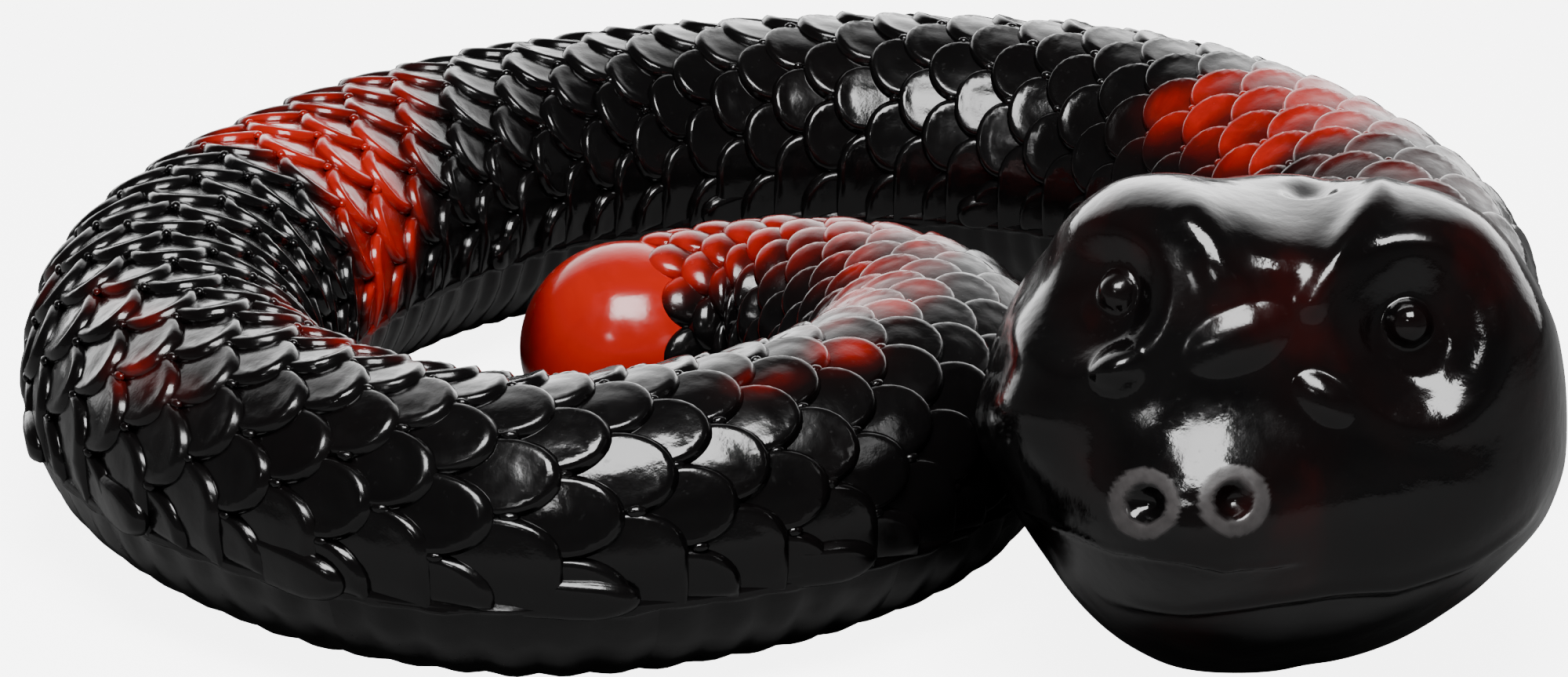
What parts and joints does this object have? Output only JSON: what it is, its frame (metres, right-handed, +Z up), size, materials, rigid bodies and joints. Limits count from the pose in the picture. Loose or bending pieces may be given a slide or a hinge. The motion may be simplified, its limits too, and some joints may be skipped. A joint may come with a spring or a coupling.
{
  "type": "posable toy snake",
  "caption": "Coiled soft rubber snake with raised overlapping scales, smooth rounded head and red rounded tail end, posable side to side along a jointed inner spine.",
  "frame": {"origin": "middle of the coiled snake's bounding box, on the plane it rests on", "axes": "+Z up out of the coil; +X towards the side the head lies on; -Y the way the face looks"},
  "size_m": [0.2216, 0.2228, 0.0615],
  "materials": {
    "black_rubber": "glossy moulded soft rubber, black marbled with deep red",
    "red_rubber": "glossy moulded soft rubber, bright red",
    "link_plastic": "natural moulded nylon, satin",
    "pin_steel": "plain drawn steel wire, cut square"
  },
  "bodies": {
    "head": {"head_skin": "black_rubber", "head_anchor": "link_plastic"},
    "length_01": {"skin_sleeve_01": "black_rubber", "spine_link_01": "link_plastic", "hinge_pin_01": "pin_steel"},
    "length_02": {"skin_sleeve_02": "black_rubber", "spine_link_02": "link_plastic", "hinge_pin_02": "pin_steel"},
    "length_03": {"skin_sleeve_03": "black_rubber", "spine_link_03": "link_plastic", "hinge_pin_03": "pin_steel"},
    "length_04": {"skin_sleeve_04": "black_rubber", "spine_link_04": "link_plastic", "hinge_pin_04": "pin_steel"},
    "length_05": {"skin_sleeve_05": "black_rubber", "spine_link_05": "link_plastic", "hinge_pin_05": "pin_steel"},
    "length_06": {"skin_sleeve_06": "black_rubber", "spine_link_06": "link_plastic", "hinge_pin_06": "pin_steel"},
    "length_07": {"skin_sleeve_07": "black_rubber", "spine_link_07": "link_plastic", "hinge_pin_07": "pin_steel"},
    "length_08": {"skin_sleeve_08": "black_rubber", "spine_link_08": "link_plastic", "hinge_pin_08": "pin_steel"},
    "length_09": {"skin_sleeve_09": "black_rubber", "spine_link_09": "link_plastic", "hinge_pin_09": "pin_steel"},
    "length_10": {"skin_sleeve_10": "black_rubber", "spine_link_10": "link_plastic", "hinge_pin_10": "pin_steel"},
    "length_11": {"skin_sleeve_11": "black_rubber", "spine_link_11": "link_plastic", "hinge_pin_11": "pin_steel"},
    "length_12": {"skin_sleeve_12": "black_rubber", "spine_link_12": "link_plastic", "hinge_pin_12": "pin_steel"},
    "length_13": {"skin_sleeve_13": "black_rubber", "spine_link_13": "link_plastic", "hinge_pin_13": "pin_steel"},
    "length_14": {"skin_sleeve_14": "black_rubber", "spine_link_14": "link_plastic", "hinge_pin_14": "pin_steel"},
    "length_15": {"skin_sleeve_15": "black_rubber", "spine_link_15": "link_plastic", "hinge_pin_15": "pin_steel"},
    "length_16": {"skin_sleeve_16": "black_rubber", "spine_link_16": "link_plastic", "hinge_pin_16": "pin_steel"},
    "tail": {"tail_skin": "black_rubber", "tail_anchor": "link_plastic", "tail_bulb": "red_rubber", "hinge_pin_17": "pin_steel"}
  },
  "joints": [
    {"name": "bend_01", "type": "hinge", "parent": "head", "child": "length_01", "pos_m": [0.07876, -0.02817, 0.0204], "axis": [0, 0, 1], "range_deg": [-20, 0]},
    {"name": "bend_02", "type": "hinge", "parent": "length_01", "child": "length_02", "pos_m": [0.08812, 0.00404, 0.02209], "axis": [0, 0, 1], "range_deg": [-38, 0]},
    {"name": "bend_03", "type": "hinge", "parent": "length_02", "child": "length_03", "pos_m": [0.08117, 0.03716, 0.02243], "axis": [0, 0, 1], "range_deg": [-30, 0]},
    {"name": "bend_04", "type": "hinge", "parent": "length_03", "child": "length_04", "pos_m": [0.0634, 0.06594, 0.02219], "axis": [0, 0, 1], "range_deg": [-34, 0]},
    {"name": "bend_05", "type": "hinge", "parent": "length_04", "child": "length_05", "pos_m": [0.03554, 0.08484, 0.02171], "axis": [0, 0, 1], "range_deg": [-36, 0]},
    {"name": "bend_06", "type": "hinge", "parent": "length_05", "child": "length_06", "pos_m": [0.0021, 0.08963, 0.0212], "axis": [0, 0, 1], "range_deg": [-31, 0]},
    {"name": "bend_07", "type": "hinge", "parent": "length_06", "child": "length_07", "pos_m": [-0.0309, 0.08225, 0.02092], "axis": [0, 0, 1], "range_deg": [-34, 0]},
    {"name": "bend_08", "type": "hinge", "parent": "length_07", "child": "length_08", "pos_m": [-0.05792, 0.06209, 0.0212], "axis": [0, 0, 1], "range_deg": [-29, 0]},
    {"name": "bend_09", "type": "hinge", "parent": "length_08", "child": "length_09", "pos_m": [-0.07692, 0.03398, 0.02175], "axis": [0, 0, 1], "range_deg": [-24, 0]},
    {"name": "bend_10", "type": "hinge", "parent": "length_09", "child": "length_10", "pos_m": [-0.08836, 0.00213, 0.02185], "axis": [0, 0, 1], "range_deg": [-33, 5]},
    {"name": "bend_11", "type": "hinge", "parent": "length_10", "child": "length_11", "pos_m": [-0.08645, -0.03152, 0.02131], "axis": [0, 0, 1], "range_deg": [0, 4]},
    {"name": "bend_12", "type": "hinge", "parent": "length_11", "child": "length_12", "pos_m": [-0.06765, -0.05941, 0.02057], "axis": [0, 0, 1], "range_deg": [0, 3]},
    {"name": "bend_13", "type": "hinge", "parent": "length_12", "child": "length_13", "pos_m": [-0.03747, -0.07329, 0.0197], "axis": [0, 0, 1], "range_deg": [0, 3]},
    {"name": "bend_14", "type": "hinge", "parent": "length_13", "child": "length_14", "pos_m": [-0.00992, -0.06565, 0.0196], "axis": [0, 0, 1], "range_deg": [0, 4]},
    {"name": "bend_15", "type": "hinge", "parent": "length_14", "child": "length_15", "pos_m": [0.01152, -0.04631, 0.0194], "axis": [0, 0, 1], "range_deg": [0, 4]},
    {"name": "bend_16", "type": "hinge", "parent": "length_15", "child": "length_16", "pos_m": [0.01972, -0.02034, 0.019], "axis": [0, 0, 1], "range_deg": [-50, 3]},
    {"name": "bend_17", "type": "hinge", "parent": "length_16", "child": "tail", "pos_m": [0.00891, 0.00387, 0.018], "axis": [0, 0, 1], "range_deg": [-46, 6]}
  ]
}
